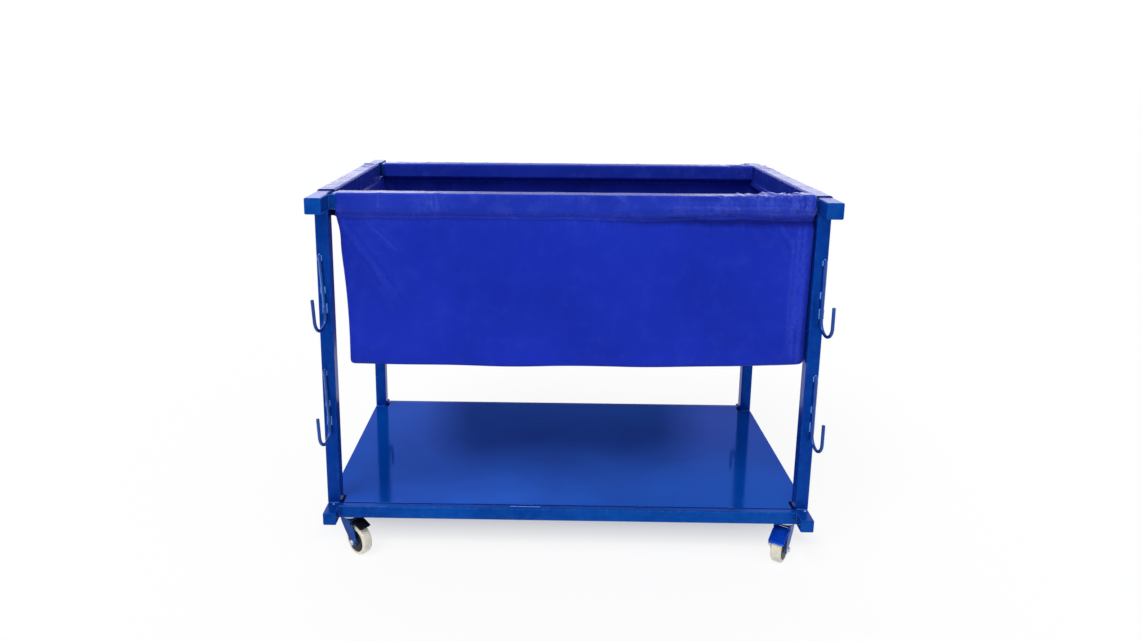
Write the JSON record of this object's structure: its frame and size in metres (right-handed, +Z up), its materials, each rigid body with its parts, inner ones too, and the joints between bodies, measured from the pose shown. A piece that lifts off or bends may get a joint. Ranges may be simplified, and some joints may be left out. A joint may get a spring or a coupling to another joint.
{
  "type": "ball cart",
  "caption": "Rolling ball cart: square-tube steel frame, sewn open-top tarpaulin bag, sheet shelf, round-bar hooks on the legs and braked swivel castors.",
  "frame": {"origin": "on the floor under the middle of the frame", "axes": "+X along the cart's long side to the right, +Y to the rear, +Z up; the side with the brake pedals faces -Y"},
  "size_m": [1.2106, 0.7366, 0.9266],
  "materials": {
    "frame_paint": "gloss",
    "shelf_paint": "high gloss",
    "hook_paint": "gloss",
    "tarpaulin": "satin coated",
    "zinc": "zinc plated",
    "bearing_steel": "polished",
    "castor_paint": "gloss",
    "wheel_nylon": "matte",
    "cover_black": "satin",
    "pedal_black": "satin",
    "pedal_blue": "gloss"
  },
  "bodies": {
    "frame": {"bottom_rail_left": "frame_paint", "bottom_rail_left_front_cap": "frame_paint", "bottom_rail_left_rear_cap": "frame_paint", "bottom_rail_right": "frame_paint", "bottom_rail_right_front_cap": "frame_paint", "bottom_rail_right_rear_cap": "frame_paint", "bottom_rail_front": "frame_paint", "bottom_rail_rear": "frame_paint", "top_rail_left": "frame_paint", "top_rail_left_front_cap": "frame_paint", "top_rail_left_rear_cap": "frame_paint", "top_rail_right": "frame_paint", "top_rail_right_front_cap": "frame_paint", "top_rail_right_rear_cap": "frame_paint", "top_rail_front": "frame_paint", "top_rail_rear": "frame_paint", "leg_front_left": "frame_paint", "leg_front_right": "frame_paint", "leg_rear_left": "frame_paint", "leg_rear_right": "frame_paint", "shelf_sheet": "shelf_paint", "hook_front_left_upper": "hook_paint", "hook_front_left_lower": "hook_paint", "hook_front_right_upper": "hook_paint", "hook_front_right_lower": "hook_paint", "hook_rear_left_upper": "hook_paint", "hook_rear_left_lower": "hook_paint", "hook_rear_right_upper": "hook_paint", "hook_rear_right_lower": "hook_paint", "bag": "tarpaulin", "front_left_castor_plate": "zinc", "front_left_castor_balls": "bearing_steel", "front_right_castor_plate": "zinc", "front_right_castor_balls": "bearing_steel", "rear_left_castor_plate": "zinc", "rear_left_castor_balls": "bearing_steel", "rear_right_castor_plate": "zinc", "rear_right_castor_balls": "bearing_steel"},
    "front_left_swivel": {"front_left_castor_fork": "castor_paint", "front_left_castor_axle": "zinc"},
    "front_left_wheel": {"front_left_castor_wheel": "wheel_nylon", "front_left_castor_cover_a": "cover_black", "front_left_castor_cover_b": "cover_black"},
    "front_left_pedal": {"front_left_brake_pedal": "pedal_black"},
    "front_right_swivel": {"front_right_castor_fork": "castor_paint", "front_right_castor_axle": "zinc"},
    "front_right_wheel": {"front_right_castor_wheel": "wheel_nylon", "front_right_castor_cover_a": "cover_black", "front_right_castor_cover_b": "cover_black"},
    "front_right_pedal": {"front_right_brake_pedal": "pedal_blue"},
    "rear_left_swivel": {"rear_left_castor_fork": "castor_paint", "rear_left_castor_axle": "zinc"},
    "rear_left_wheel": {"rear_left_castor_wheel": "wheel_nylon", "rear_left_castor_cover_a": "cover_black", "rear_left_castor_cover_b": "cover_black"},
    "rear_right_swivel": {"rear_right_castor_fork": "castor_paint", "rear_right_castor_axle": "zinc"},
    "rear_right_wheel": {"rear_right_castor_wheel": "wheel_nylon", "rear_right_castor_cover_a": "cover_black", "rear_right_castor_cover_b": "cover_black"}
  },
  "joints": [
    {"name": "front_left_swivel_turn", "type": "hinge", "parent": "frame", "child": "front_left_swivel", "pos_m": [-0.548, -0.276, 0.093], "axis": [0, 0, 1], "continuous": true},
    {"name": "front_left_wheel_spin", "type": "hinge", "parent": "front_left_swivel", "child": "front_left_wheel", "pos_m": [-0.52502, -0.29528, 0.03718], "axis": [0.6428, 0.766, 0], "continuous": true},
    {"name": "front_left_brake_press", "type": "hinge", "parent": "front_left_swivel", "child": "front_left_pedal", "pos_m": [-0.53268, -0.28886, 0.082], "axis": [0.6428, 0.766, 0], "range_deg": [0, 12]},
    {"name": "front_right_swivel_turn", "type": "hinge", "parent": "frame", "child": "front_right_swivel", "pos_m": [0.553, -0.276, 0.093], "axis": [0, 0, 1], "continuous": true},
    {"name": "front_right_wheel_spin", "type": "hinge", "parent": "front_right_swivel", "child": "front_right_wheel", "pos_m": [0.53622, -0.30087, 0.03718], "axis": [0.829, -0.5592, 0], "continuous": true},
    {"name": "front_right_brake_press", "type": "hinge", "parent": "front_right_swivel", "child": "front_right_pedal", "pos_m": [0.54182, -0.29258, 0.082], "axis": [0.829, -0.5592, 0], "range_deg": [-12, 0]},
    {"name": "rear_left_swivel_turn", "type": "hinge", "parent": "frame", "child": "rear_left_swivel", "pos_m": [-0.548, 0.27, 0.093], "axis": [0, 0, 1], "continuous": true},
    {"name": "rear_left_wheel_spin", "type": "hinge", "parent": "rear_left_swivel", "child": "rear_left_wheel", "pos_m": [-0.53873, 0.24147, 0.03718], "axis": [0.9511, 0.309, 0], "continuous": true},
    {"name": "rear_right_swivel_turn", "type": "hinge", "parent": "frame", "child": "rear_right_swivel", "pos_m": [0.548, 0.27, 0.093], "axis": [0, 0, 1], "continuous": true},
    {"name": "rear_right_wheel_spin", "type": "hinge", "parent": "rear_right_swivel", "child": "rear_right_wheel", "pos_m": [0.54382, 0.24029, 0.03718], "axis": [0.9903, -0.1392, 0], "continuous": true}
  ]
}
